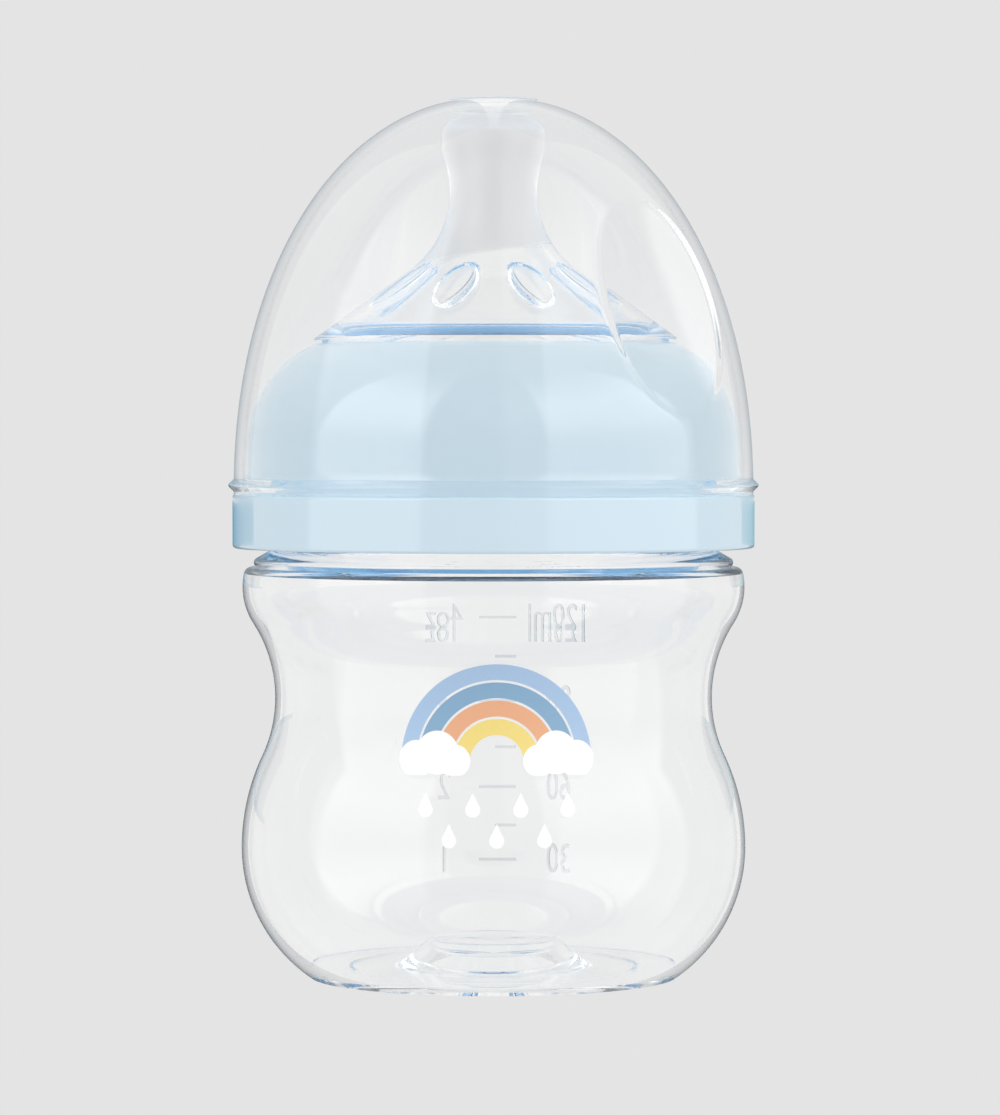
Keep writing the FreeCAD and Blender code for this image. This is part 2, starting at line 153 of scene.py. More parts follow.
# Screw collar
COLLAR_WALL = 1.6
THREAD_ROOM = 1.4
BAND_ROUND = 0.45
DOME_ARC_R = 14.5
DOME_BELOW_RIM = 1.0
LIP_STEP = 9.4
LIP_ROUND = 0.55
CLAMP_RING_WALL = 1.5
MOUTH_CHAMFER = 0.6
SNAP_RISE = 0.3
SNAP_HEIGHT = 1.2
SNAP_ABOVE_LEDGE = 1.4
COLLAR_BORE_R = NECK_R + THREAD_ROOM
DOME_R = COLLAR_BORE_R + COLLAR_WALL
DOME_ARC_X = DOME_R - DOME_ARC_R
DOME_ARC_Z = RIM_Z - DOME_BELOW_RIM
DOME_INNER_ARC_R = DOME_ARC_R - COLLAR_WALL
LIP_HOLE_R = DOME_R - LIP_STEP
LIP_TOP_Z = DOME_ARC_Z + math.sqrt(DOME_ARC_R**2 - (LIP_HOLE_R - DOME_ARC_X) ** 2)

# Silicone teat
CLEARANCE = 0.3
FLANGE_THICKNESS = 1.8
TEAT_WALL = 1.6
SKIRT_ROUND = 1.5
CONE_ROUND = 4.2
GROOVE_GAP = 0.15
SEAT_OVERLAP = 0.7
SEAT_EDGE = 0.3
CONE_ANGLE = math.radians(35.5)
FLARE_ARC_R = 12.5
NIPPLE_NECK_R = 5.75
BULB_R = 6.8
BULB_RISE = 6.7
BULB_SIDE = 1.1
TIP_ARC_R = 16.0
TIP_ROUND = 1.8
FEED_HOLE_R = 0.35
PETAL_COUNT = 8
PETAL_WIDTH = 5.2
PETAL_LENGTH = 9.8
PETAL_RISE = 1.2
PETAL_CENTRE_R = 12.5
VENT_R = 1.7
VENT_HOLE_R = 0.5
VENT_LENGTH = 2.6
VENT_GAP = 0.048
CLAMP_Z = RIM_Z + FLANGE_THICKNESS

# Dome cap, with one hollow pressed into it by a leaning barrel
CAP_WALL = 1.1
CAP_ROOM = 0.7
CAP_TIP_ROOM = 0.95
CAP_DOME_POWER = 2.1
CAP_PAD_R = 5.7
CAP_PAD_DROP = 0.4
CAP_PAD_SIDE = 0.2
CAP_BEAD_HEIGHT = 1.6
CAP_BEAD_ROUND = 0.3
CAP_BEAD_ABOVE_RIM = 1.1
SCOOP_ACROSS_R = 80.0
SCOOP_ALONG_R = 180.0
SCOOP_DEPTH = 2.45
SCOOP_ABOVE_RIM = 25.2
SCOOP_AZIMUTH = math.radians(48.0)
SCOOP_CREASE = 0.09
CAP_BORE_R = DOME_R + CAP_ROOM
CAP_R = CAP_BORE_R + CAP_WALL
CAP_RISE = TIP_Z + CAP_TIP_ROOM + CAP_WALL - LEDGE_Z
CAP_PAD_Z = LEDGE_Z + CAP_RISE - CAP_PAD_DROP
CAP_BEAD_Z = LEDGE_Z + CAP_BEAD_ABOVE_RIM

# Mesh fineness
ARC_STEP = math.radians(3.0)
LONGEST_RUN = 0.8
THREAD_RUN = 0.2
PETAL_RUN = 0.2
ROUND_SEGMENTS = 256
PETAL_SEGMENTS = 640
VENT_SEGMENTS = 48
CAP_SEGMENTS = 448
CAP_ROWS = 160
SAME_POINT = 1e-6
WELD_DISTANCE = 1e-4
SHARP_DEGREES = 30
TEAT_SHARP_DEGREES = 35


def at(radius, height):
    """A point of a half section."""
    return np.array((radius, height), float)


def unit(vector):
    """The vector made one long."""
    return vector / np.hypot(*vector)


def arc(centre, start, end):
    """Points along the short arc about a centre, with both ends."""
    first, last = start - centre, end - centre
    sweep = math.atan2(first[0] * last[1] - first[1] * last[0], first @ last)
    longest_turn = min(ARC_STEP, LONGEST_RUN / np.hypot(*first))
    count = max(2, math.ceil(abs(sweep) / longest_turn))
    angles = math.atan2(first[1], first[0]) + np.linspace(0, sweep, count + 1)
    return centre + np.hypot(*first) * np.column_stack((np.cos(angles), np.sin(angles)))


def rounded(corners):
    """Straight runs through (radius, height) corners; a third number rounds that corner."""
    points = [at(*corner[:2]) for corner in corners]
    path = [points[0]]
    for before, here, after, corner in zip(points, points[1:], points[2:], corners[1:]):
        if len(corner) == 2:
            path.append(here)
            continue
        back, ahead = unit(before - here), unit(after - here)
        half = math.acos(back @ ahead) / 2
        tangent = corner[2] / math.tan(half)
        centre = here + unit(back + ahead) * (corner[2] / math.sin(half))
        path.extend(arc(centre, here + back * tangent, here + ahead * tangent))
    path.append(points[-1])
    return np.array(path)


def section(*stretches):
    """One outline from stretches of points, without repeats; points on long runs crowd towards the end."""
    points = np.vstack(stretches)
    path = [points[0]]
    for point in points[1:]:
        run = np.hypot(*(point - path[-1]))
        if run < SAME_POINT:
            continue
        count = math.ceil(run / LONGEST_RUN)
        for share in np.arange(1, count + 1) / count:
            path.append(path[-1] + (point - path[-1]) * share)
    return np.array(path)


def finer(path, on_stretch, longest):
    """The outline with the runs of one stretch divided further, into even steps."""
    rows = [path[0]]
    for start, end in zip(path, path[1:]):
        fine = on_stretch(start) and on_stretch(end)
        count = math.ceil(np.hypot(*(end - start)) / longest) if fine else 1
        for share in np.arange(1, count + 1) / count:
            rows.append(start + (end - start) * share)
    return np.array(rows)


def lathe(path, segments, shape=None):
    """A closed mesh: the outline turned about Z, with its points moved by a shape function if given."""
    turns = np.arange(segments) * (2 * math.pi / segments)
    radius, angle = np.meshgrid(path[:, 0], turns, indexing="ij")
    height = np.repeat(path[:, 1:], segments, axis=1)
    if shape:
        radius, height, angle = shape(radius, height, angle)
    points = np.stack((radius * np.cos(angle), radius * np.sin(angle), height), axis=-1) * MM
    here = np.arange(len(path) * segments).reshape(len(path), segments)
    ahead = np.roll(here, -1, axis=0)
    quads = np.stack((here, np.roll(here, -1, axis=1), np.roll(ahead, -1, axis=1), ahead), axis=-1)
    mesh = bpy.data.meshes.new("lathe")
    mesh.from_pydata(points.reshape(-1, 3).tolist(), [], quads.reshape(-1, 4).tolist())
    return cleaned(mesh)


def cleaned(mesh):
    """The mesh with its poles closed and every face turned outwards."""
    work = bmesh.new()
    work.from_mesh(mesh)
    bmesh.ops.remove_doubles(work, verts=work.verts, dist=WELD_DISTANCE * MM)
    bmesh.ops.recalc_face_normals(work, faces=work.faces)
    work.to_mesh(mesh)
    work.free()
    return mesh


def piece(name, mesh, material, sharp_degrees=SHARP_DEGREES):
    """An object in the scene with smooth faces and one material."""
    mesh.name = name
    mesh.materials.clear()
    mesh.materials.append(material)
    mesh.polygons.foreach_set("use_smooth", np.ones(len(mesh.polygons), bool))
    mesh.set_sharp_from_angle(angle=math.radians(sharp_degrees))
    thing = bpy.data.objects.new(name, mesh)
    bpy.context.scene.collection.objects.link(thing)
    return thing


def between_centres(first, second, radius):
    """The point at a radius from the first centre, on the line to the second."""
    return first + unit(second - first) * radius


def following_radius(step, rise, radius):
    """The radius of the arc that takes over from a tangent one, over a sideways step and a rise."""
    return (step**2 + rise**2) / (2 * step) - radius


def thread_rise(height, angle, base_z, turns):
    """How far a thread stands out of its wall at a height and an angle."""
    rise = np.zeros(np.broadcast(height, angle).shape)
    flank = (THREAD_WIDTH - THREAD_CREST) / 2
    for whole in range(math.floor(turns[0]) - 1, math.ceil(turns[1]) + 1):
        turn = angle / (2 * math.pi) + whole
        ends = np.clip(np.minimum(turn - turns[0], turns[1] - turn) / THREAD_FADE_TURNS, 0, 1)
        off_crest = np.abs(height - base_z - THREAD_LEAD * turn) - THREAD_CREST / 2
        rise = np.maximum(rise, ends * np.clip(1 - off_crest / flank, 0, 1) * THREAD_RISE)
    return rise


def threaded_lathe(path, wall_r, direction, base_z, turns):
    """The outline turned about Z, with a thread on the wall of one radius."""
    path = finer(path, lambda point: abs(point[0] - wall_r) < SAME_POINT, THREAD_RUN)

    def threaded(radius, height, angle):
        rise = thread_rise(height, angle, base_z, turns)
        on_wall = np.abs(radius - wall_r) < SAME_POINT
        return np.where(on_wall, radius + direction * rise, radius), height, angle

    return lathe(path, ROUND_SEGMENTS, threaded)


def body_side(inset):
    """The bottle's side from its foot to its shoulder, moved inwards by a wall thickness."""
    foot_radius = (FOOT_STEP**2 + BELLY_Z**2) / (2 * FOOT_STEP)
    belly_radius = following_radius(BELLY_R - WAIST_R, WAIST_Z - BELLY_Z, WAIST_ARC_R)
    bulge_radius = following_radius(BULGE_R - WAIST_R, BULGE_Z - WAIST_Z, WAIST_ARC_R)
    foot = at(BELLY_R - foot_radius, BELLY_Z)
    belly = at(BELLY_R - belly_radius, BELLY_Z)
    waist = at(WAIST_R + WAIST_ARC_R, WAIST_Z)
    bulge = at(BULGE_R - bulge_radius, BULGE_Z)
    floor_z = FLOOR_THICKNESS if inset else 0.0
    floor_r = foot[0] + math.sqrt((foot_radius - inset) ** 2 - (foot[1] - floor_z) ** 2)
    equator = at(BELLY_R - inset, BELLY_Z)
    belly_to_waist = between_centres(waist, belly, WAIST_ARC_R + inset)
    waist_to_bulge = between_centres(waist, bulge, WAIST_ARC_R + inset)
    stretches = [
        arc(foot, at(floor_r, floor_z), equator),
        arc(belly, equator, belly_to_waist),
        arc(waist, belly_to_waist, waist_to_bulge),
    ]
    if inset:
        rise = BULGE_TO_SHOULDER - inset
        top_r = bulge[0] + math.sqrt((bulge_radius - inset) ** 2 - rise**2)
        return np.vstack(stretches + [arc(bulge, waist_to_bulge, at(top_r, BULGE_Z + rise))])
    rise = BULGE_TO_SHOULDER - SHOULDER_CORNER_R
    corner_r = bulge[0] + math.sqrt((bulge_radius - SHOULDER_CORNER_R) ** 2 - rise**2)
    corner = at(corner_r, BULGE_Z + rise)
    bulge_to_corner = between_centres(bulge, corner, bulge_radius)
    stretches.append(arc(bulge, waist_to_bulge, bulge_to_corner))
    stretches.append(arc(corner, bulge_to_corner, at(corner_r, SHOULDER_Z)))
    return np.vstack(stretches)


def bottle_mesh():
    """The clear body with its gate hump, its bead and the screw thread on its neck."""
    ring_r = FOOT_R - FOOT_RING_WIDTH
    underside = rounded([
        (0, PUNT_HEIGHT),
        (PUNT_TOP_R, PUNT_HEIGHT, PUNT_ROUND),
        (PUNT_R, FOOT_RECESS, PUNT_ROUND),
        (ring_r - FOOT_RECESS, FOOT_RECESS),
        (ring_r, 0),
        (FOOT_R, 0),
    ])
    neck = rounded([
        (BEAD_R - BEAD_UNDERCUT, SHOULDER_Z),
        (BEAD_R, SHOULDER_Z + BEAD_EDGE_HEIGHT, BEAD_ROUND),
        (NECK_R, SHOULDER_Z + BEAD_HEIGHT),
        (NECK_R, RIM_Z, RIM_ROUND),
        (NECK_BORE_R, RIM_Z, RIM_ROUND),
        (NECK_BORE_R, SHOULDER_Z - BOTTLE_WALL, NECK_ROOT_ROUND),
        (NECK_BORE_R + 2 * NECK_ROOT_ROUND, SHOULDER_Z - BOTTLE_WALL),
    ])
    floor = rounded([
        (ring_r, FLOOR_THICKNESS),
        (HUMP_FOOT_R, FLOOR_THICKNESS, HUMP_FOOT_ROUND),
        (HUMP_TOP_R, HUMP_HEIGHT, HUMP_TOP_ROUND),
        (0, HUMP_HEIGHT - HUMP_DISH),
    ])
    path = section(underside, body_side(0.0), neck, body_side(BOTTLE_WALL)[::-1], floor)
    return threaded_lathe(path, NECK_R, OUTER_THREAD, NECK_THREAD_Z, NECK_THREAD_TURNS)


def on_collar_dome(arc_radius, height):
    """The point of an arc about the collar dome's centre, at a height."""
    return at(DOME_ARC_X + math.sqrt(arc_radius**2 - (height - DOME_ARC_Z) ** 2), height)


def under_collar_dome(radius):
    """The point of the collar dome's inner face at a radius."""
    return at(radius, DOME_ARC_Z + math.sqrt(DOME_INNER_ARC_R**2 - (radius - DOME_ARC_X) ** 2))


def collar_mesh():
    """The screw collar: band, ledge, dome, lip, clamp ring and threaded bore."""
    dome = at(DOME_ARC_X, DOME_ARC_Z)
    lip_edge = on_collar_dome(DOME_ARC_R, LIP_TOP_Z - LIP_ROUND)
    under_lip = under_collar_dome(LIP_HOLE_R)
    ring_inner = under_collar_dome(NECK_BORE_R)
    ring_outer = under_collar_dome(NECK_BORE_R + CLAMP_RING_WALL)
    snap_z = LEDGE_Z + SNAP_ABOVE_LEDGE
    outside = rounded([
        (COLLAR_BORE_R + MOUTH_CHAMFER, COLLAR_Z),
        (BAND_R, COLLAR_Z, BAND_ROUND),
        (BAND_R, LEDGE_Z, BAND_ROUND),
        (DOME_R, LEDGE_Z),
        (DOME_R, snap_z),
        (DOME_R + SNAP_RISE, snap_z + SNAP_HEIGHT / 2),
        (DOME_R, snap_z + SNAP_HEIGHT),
        (DOME_R, DOME_ARC_Z),
    ])
    lip = rounded([tuple(lip_edge), (LIP_HOLE_R, LIP_TOP_Z, LIP_ROUND), tuple(under_lip)])
    ring = rounded([
        tuple(ring_inner),
        (ring_inner[0], CLAMP_Z),
        (ring_outer[0], CLAMP_Z),
        tuple(ring_outer),
    ])
    bore = [at(COLLAR_BORE_R, DOME_ARC_Z), at(COLLAR_BORE_R, COLLAR_Z + MOUTH_CHAMFER)]
    path = section(
        outside,
        arc(dome, at(DOME_R, DOME_ARC_Z), lip_edge),
        lip,
        arc(dome, under_lip, ring_inner),
        ring,
        arc(dome, ring_outer, at(COLLAR_BORE_R, DOME_ARC_Z)),
        bore,
    )
    return threaded_lathe(path, COLLAR_BORE_R, INNER_THREAD, COLLAR_THREAD_Z, COLLAR_THREAD_TURNS)


# The way the teat's cone faces, and the edge where it starts
OUTWARD = at(math.sin(CONE_ANGLE), math.cos(CONE_ANGLE))
SEAT = at(LIP_HOLE_R + SEAT_OVERLAP, LIP_TOP_Z + GROOVE_GAP + SEAT_EDGE)


def teat_cone(inset):
    """The teat's cone, flare, bulb and tip, from its seat to the feed hole, moved inwards by a wall."""
    cone_run = SEAT[0] - NIPPLE_NECK_R - FLARE_ARC_R * (1 - OUTWARD[0])
    neck_z = SEAT[1] + cone_run * math.tan(CONE_ANGLE) + FLARE_ARC_R * OUTWARD[1]
    bulb_radius = following_radius(BULB_R - NIPPLE_NECK_R, BULB_RISE, FLARE_ARC_R)
    round_z = neck_z + BULB_RISE + BULB_SIDE
    tip_drop = math.sqrt((TIP_ARC_R - TIP_ROUND) ** 2 - (BULB_R - TIP_ROUND) ** 2)
    flare = at(NIPPLE_NECK_R + FLARE_ARC_R, neck_z)
    bulb = at(BULB_R - bulb_radius, neck_z + BULB_RISE)
    corner = at(BULB_R - TIP_ROUND, round_z)
    tip_arc = at(0, round_z - tip_drop)
    cone_top = flare - OUTWARD * (FLARE_ARC_R + inset)
    flare_to_bulb = between_centres(flare, bulb, FLARE_ARC_R + inset)
    equator = at(BULB_R - inset, bulb[1])
    corner_to_tip = between_centres(tip_arc, corner, TIP_ARC_R - inset)
    hole_z = tip_arc[1] + math.sqrt((TIP_ARC_R - inset) ** 2 - FEED_HOLE_R**2)
    return np.vstack([
        SEAT - OUTWARD * inset,
        arc(flare, cone_top, flare_to_bulb),
        arc(bulb, flare_to_bulb, equator),
        arc(corner, at(BULB_R - inset, round_z), corner_to_tip),
        arc(tip_arc, corner_to_tip, at(FEED_HOLE_R, hole_z)),
    ])


def petal_rise(radius, height, angle):
    """How far the petals swell out of the inside of the cone."""
    foot = SEAT - OUTWARD * TEAT_WALL
    along = foot[0] - PETAL_CENTRE_R
    place = foot + at(-along, along * math.tan(CONE_ANGLE))
    above_cone = (radius - place[0]) * OUTWARD[0] + (height - place[1]) * OUTWARD[1]
    on_cone = (above_cone > -SAME_POINT) & (above_cone < TEAT_WALL / 2)
    pitch = 2 * math.pi / PETAL_COUNT
    across = radius * (np.mod(angle, pitch) - pitch / 2)
    down = (radius - place[0]) / math.cos(CONE_ANGLE)
    off_centre = (2 * across / PETAL_WIDTH) ** 2 + (2 * down / PETAL_LENGTH) ** 2
    return np.where(on_cone, PETAL_RISE * np.sqrt(np.clip(1 - off_centre, 0, 1)), 0)


def teat_mesh():
    """The silicone teat: flange, skirt, groove for the lip, petalled cone, nipple and feed hole."""
    skirt_r = NECK_BORE_R - CLEARANCE
    skirt_arc_r = DOME_INNER_ARC_R - CLEARANCE
    skirt_top = on_collar_dome(skirt_arc_r, under_collar_dome(LIP_HOLE_R)[1] - CLEARANCE)
    skirt_turn = at(skirt_r, DOME_ARC_Z + math.sqrt(skirt_arc_r**2 - (skirt_r - DOME_ARC_X) ** 2))
    groove_r = LIP_HOLE_R - CLEARANCE
    seat_z = LIP_TOP_Z + GROOVE_GAP
    inner_cone = teat_cone(TEAT_WALL)
    inner_groove_r = groove_r - TEAT_WALL
    groove_top = inner_cone[0][1] + (inner_cone[0][0] - inner_groove_r) * math.tan(CONE_ANGLE)
    inner_cone[0] = at(inner_groove_r - CONE_ROUND, groove_top + CONE_ROUND * math.tan(CONE_ANGLE))
    cone_line = inner_cone[0] @ OUTWARD
    flange = rounded([
        (skirt_r - TEAT_WALL, RIM_Z),
        (FLANGE_R, RIM_Z, RIM_ROUND),
        (FLANGE_R, CLAMP_Z, RIM_ROUND),
        (skirt_r, CLAMP_Z),
        tuple(skirt_turn),
    ])
    groove = rounded([
        tuple(skirt_top),
        (groove_r, skirt_top[1]),
        (groove_r, seat_z),
        (SEAT[0], seat_z),
        tuple(SEAT),
    ])
    inside = rounded([
        tuple(inner_cone[0]),
        (inner_groove_r, groove_top, CONE_ROUND),
        (inner_groove_r, skirt_top[1] - TEAT_WALL, SKIRT_ROUND),
        (skirt_r - TEAT_WALL, skirt_turn[1] - TEAT_WALL, SKIRT_ROUND),
        (skirt_r - TEAT_WALL, RIM_Z + LONGEST_RUN),
    ])
    skirt = arc(at(DOME_ARC_X, DOME_ARC_Z), skirt_turn, skirt_top)
    path = section(flange, skirt, groove, teat_cone(0.0), inner_cone[::-1], inside)

    def under_cone(point):
        return -SAME_POINT < point @ OUTWARD - cone_line < TEAT_WALL / 2

    def swollen(radius, height, angle):
        rise = petal_rise(radius, height, angle)
        return radius - rise * OUTWARD[0], height - rise * OUTWARD[1], angle

    return lathe(finer(path, under_cone, PETAL_RUN), PETAL_SEGMENTS, swollen)


def vent_mesh(side):
    """One of the two vent cones that point inwards from the teat's skirt."""
    path = section(rounded([
        (VENT_HOLE_R, 0),
        (VENT_R, 0),
        (2 * VENT_HOLE_R, VENT_LENGTH),
        (VENT_HOLE_R, VENT_LENGTH),
    ]))
    mesh = lathe(path, VENT_SEGMENTS)
    foot_r = NECK_BORE_R - CLEARANCE - TEAT_WALL - VENT_GAP
    foot_z = (CLAMP_Z + under_collar_dome(NECK_BORE_R)[1]) / 2
    for vertex in mesh.vertices:
        x, y, z = vertex.co
        vertex.co = (side * (foot_r * MM - z), side * y, foot_z * MM + x)
    return cleaned(mesh)


def cap_curve(radius, rise, start_radius):
    """The dome's half outline from a radius near the axis down to the rim, as a super-ellipse."""
    first = math.acos((start_radius / radius) ** (CAP_DOME_POWER / 2))
    angles = np.linspace(first, 0, CAP_ROWS)
    reaches = radius * np.cos(angles) ** (2 / CAP_DOME_POWER)
    return np.column_stack((reaches, LEDGE_Z + rise * np.sin(angles) ** (2 / CAP_DOME_POWER)))


def scoop_place():
    """The middle of the leaning barrel that presses the hollow into the dome, and the way of its axis."""
    share = SCOOP_ABOVE_RIM / CAP_RISE
    dome_r = CAP_R * (1 - share**CAP_DOME_POWER) ** (1 / CAP_DOME_POWER)
    lean = math.atan((share * CAP_R / dome_r) ** (CAP_DOME_POWER - 1) * CAP_R / CAP_RISE)
    turn = SCOOP_AZIMUTH - math.pi / 2
    level_out = np.array((math.cos(turn), math.sin(turn), 0))
    upright = np.array((0, 0, 1))
    outward = math.cos(lean) * level_out + math.sin(lean) * upright
    axis = math.cos(lean) * upright - math.sin(lean) * level_out
    foot = dome_r * level_out + (LEDGE_Z + SCOOP_ABOVE_RIM) * upright
    return foot + (SCOOP_ACROSS_R - SCOOP_DEPTH) * outward, axis


def pressed(radius, height, angle, extra):
    """Points of the dome pushed out of the barrel, which is fatter by a wall for the inner face."""
    middle, axis = scoop_place()
    points = np.stack((radius * np.cos(angle), radius * np.sin(angle), height), axis=-1)
    off = points - middle
    along = off @ axis
    sheer = off - along[..., None] * axis
    distance = np.linalg.norm(sheer, axis=-1)
    barrel_r = SCOOP_ACROSS_R - SCOOP_ALONG_R + np.sqrt((SCOOP_ALONG_R + extra) ** 2 - along**2)
    depth = barrel_r - distance
    push = (depth + np.hypot(depth, SCOOP_CREASE)) / 2
    x, y, z = np.moveaxis(points + sheer * (push / distance)[..., None], -1, 0)
    return np.hypot(x, y), z, np.arctan2(y, x)


def cap_mesh():
    """The clear cap: a super-elliptic dome with a rim bead, a flat pad on top and one pressed hollow."""
    outer = cap_curve(CAP_R, CAP_RISE, CAP_PAD_R)
    bead = rounded([
        (CAP_R, CAP_BEAD_Z + CAP_BEAD_HEIGHT / 2),
        (CAP_BEAD_R + CAP_BEAD_ROUND / 2, CAP_BEAD_Z, CAP_BEAD_ROUND),
        (CAP_R, CAP_BEAD_Z - CAP_BEAD_HEIGHT / 2),
        (CAP_R, LEDGE_Z),
        (CAP_BORE_R, LEDGE_Z),
    ])
    above_bead = outer[outer[:, 1] > CAP_BEAD_Z + CAP_BEAD_HEIGHT / 2]
    pad = [at(0, CAP_PAD_Z), at(CAP_PAD_R, CAP_PAD_Z)]
    outside = section(pad, above_bead, bead)
    inside = section(cap_curve(CAP_BORE_R, CAP_RISE - CAP_WALL, 0.0)[::-1])[1:]
    path = np.vstack((outside, inside))
    extra = np.where(np.arange(len(path)) < len(outside), 0, CAP_WALL)[:, None]
    return lathe(path, CAP_SEGMENTS, lambda *place: pressed(*place, extra))


# Marks on the bottle's walls
FRONT, BACK = -1, 1
CONTACT_GAP = 0.012
MARK_GRID = 0.6

# Volume scale moulded on the back wall, with its figures and the height of each line
SCALE_RELIEF = 0.3
SCALE_START = -3.1
SCALE_MAJOR = 5.1
SCALE_MINOR = 2.9
SCALE_LINE = 0.4
SCALE_TEXT = 5.9
SCALE_TEXT_WIDTH = 0.62
SCALE_TEXT_STEPS = 4
SCALE_ML_X = -9.2
SCALE_OZ_X = 6.9
SCALE_MARKS = (("120ml", "4oz", 45.0), ("90", "3", 34.7), ("60", "2", 22.7), ("30", "1", 12.4))
SCALE_BETWEEN = (41.1, 28.0, 17.2)

# Printed front: a rainbow between two clouds, with rain under them
INK_FILM = 0.03
RAINBOW_X = 0.4
RAINBOW_Z = 30.0
RAINBOW_R = 12.3
RAINBOW_INKS = ("sky", "denim", "peach", "straw")
RAINBOW_POINTS = 73
STRIPE = 2.0
STRIPE_GAP = 0.3
CLOUD_PUFFS = ((-2.9, 0.2, 2.0), (-0.7, 1.2, 2.7), (2.0, 0.4, 2.3))
CLOUD_FLOOR = -1.6
CLOUD_X = 8.2
CLOUD_POINTS = 180
DROP_ROWS = ((24.2, (-9.0, -3.0, 3.0, 9.0)), (20.4, (-6.0, 0.0, 6.0)))
DROP_R = 0.95
DROP_TAIL = 2.1
DROP_POINTS = 25


def wrapped(work, toward, gap):
    """Bends a flat drawing in mm, x across, y up and z its thickness, onto the front or back wall."""
    for normal in (Vector((1, 0, 0)), Vector((0, 1, 0))):
        places = [vertex.co.dot(normal) for vertex in work.verts]
        for place in np.arange(min(places) + MARK_GRID, max(places), MARK_GRID):
            everything = work.verts[:] + work.edges[:] + work.faces[:]
            cut = {"plane_co": normal * float(place), "plane_no": normal}
            bmesh.ops.bisect_plane(work, geom=everything, dist=SAME_POINT, **cut)
    side = body_side(0.0)
    for vertex in work.verts:
        across, height, thickness = vertex.co
        wall = float(np.interp(height, side[:, 1], side[:, 0]))
        radius = toward * (wall + gap + thickness) * MM
        angle = across / wall
        vertex.co = (-radius * math.sin(angle), radius * math.cos(angle), height * MM)
    bmesh.ops.recalc_face_normals(work, faces=work.faces)
    mesh = bpy.data.meshes.new("mark")
    work.to_mesh(mesh)
    work.free()
    return mesh


def slab(outlines, thickness):
    """A flat drawing made solid: outlines are closed lists of (x, y) points in mm."""
    work = bmesh.new()
    for outline in outlines:
        face = work.faces.new([work.verts.new((x, y, 0)) for x, y in outline])
        raised = bmesh.ops.extrude_face_region(work, geom=[face], use_keep_orig=True)["geom"]
        for part in raised:
            if isinstance(part, bmesh.types.BMVert):
                part.co.z += thickness
    return work


def lettering(words, x, y):
    """Raised figures of the volume scale, centred on a point."""
    curve = bpy.data.curves.new("figures", "FONT")
    curve.body = words
    curve.size = SCALE_TEXT
    curve.extrude = SCALE_RELIEF / 2
    curve.align_x = "CENTER"
    curve.align_y = "CENTER"
    curve.resolution_u = SCALE_TEXT_STEPS
    thing = bpy.data.objects.new("figures", curve)
    bpy.context.scene.collection.objects.link(thing)
    seen = thing.evaluated_get(bpy.context.evaluated_depsgraph_get())
    flat = bpy.data.meshes.new_from_object(seen)
    bpy.data.objects.remove(thing)
    work = bmesh.new()
    work.from_mesh(flat)
    bmesh.ops.remove_doubles(work, verts=work.verts, dist=SAME_POINT)
    bmesh.ops.scale(work, verts=work.verts, vec=(SCALE_TEXT_WIDTH, 1, 1))
    bmesh.ops.translate(work, verts=work.verts, vec=(x, y, SCALE_RELIEF / 2))
    return work


def bar(height, length):
    """The outline of one line of the volume scale."""
    low, high = height - SCALE_LINE / 2, height + SCALE_LINE / 2
    end = SCALE_START + length
    return [(SCALE_START, low), (end, low), (end, high), (SCALE_START, high)]


def scale_meshes():
    """The volume scale moulded on the back wall: lines and figures that stand out of it."""
    bars = [bar(height, SCALE_MAJOR) for _, _, height in SCALE_MARKS]
    bars += [bar(height, SCALE_MINOR) for height in SCALE_BETWEEN]
    yield wrapped(slab(bars, SCALE_RELIEF), BACK, CONTACT_GAP)
    for millilitres, ounces, height in SCALE_MARKS:
        for words, x in ((millilitres, SCALE_ML_X), (ounces, SCALE_OZ_X)):
            yield wrapped(lettering(words, x, height), BACK, CONTACT_GAP)


def half_ring(outer, inner):
    """The outline of one stripe of the rainbow."""
    angles = np.linspace(0, math.pi, RAINBOW_POINTS)
    circle = np.column_stack((np.cos(angles), np.sin(angles)))
    return np.vstack((outer * circle, inner * circle[::-1])) + (RAINBOW_X, RAINBOW_Z)


def cloud(side):
    """The outline of the cloud at one end of the rainbow: overlapping puffs with a flat underside."""
    angles = np.linspace(0, 2 * math.pi, CLOUD_POINTS, endpoint=False)
    rays = np.column_stack((np.cos(angles), np.sin(angles)))
    far = np.zeros(len(angles))
    for x, y, radius in CLOUD_PUFFS:
        middle = np.array((side * x, y))
        along = rays @ middle
        beyond = radius**2 - middle @ middle + along**2
        far = np.where(beyond > 0, np.maximum(far, along + np.sqrt(np.maximum(beyond, 0))), far)
    down = np.minimum(rays[:, 1], -SAME_POINT)
    far = np.where(rays[:, 1] < 0, np.minimum(far, CLOUD_FLOOR / down), far)
    return rays * far[:, None] + (RAINBOW_X + side * CLOUD_X, RAINBOW_Z)


def drop(x, y):
    """The outline of a raindrop with its point upwards."""
    half_open = math.asin(DROP_R / DROP_TAIL)
    angles = np.linspace(math.pi - half_open, 2 * math.pi + half_open, DROP_POINTS)
    round_part = np.column_stack((np.cos(angles), np.sin(angles))) * DROP_R
    return np.vstack((round_part, (0, DROP_TAIL))) + (RAINBOW_X + x, y)


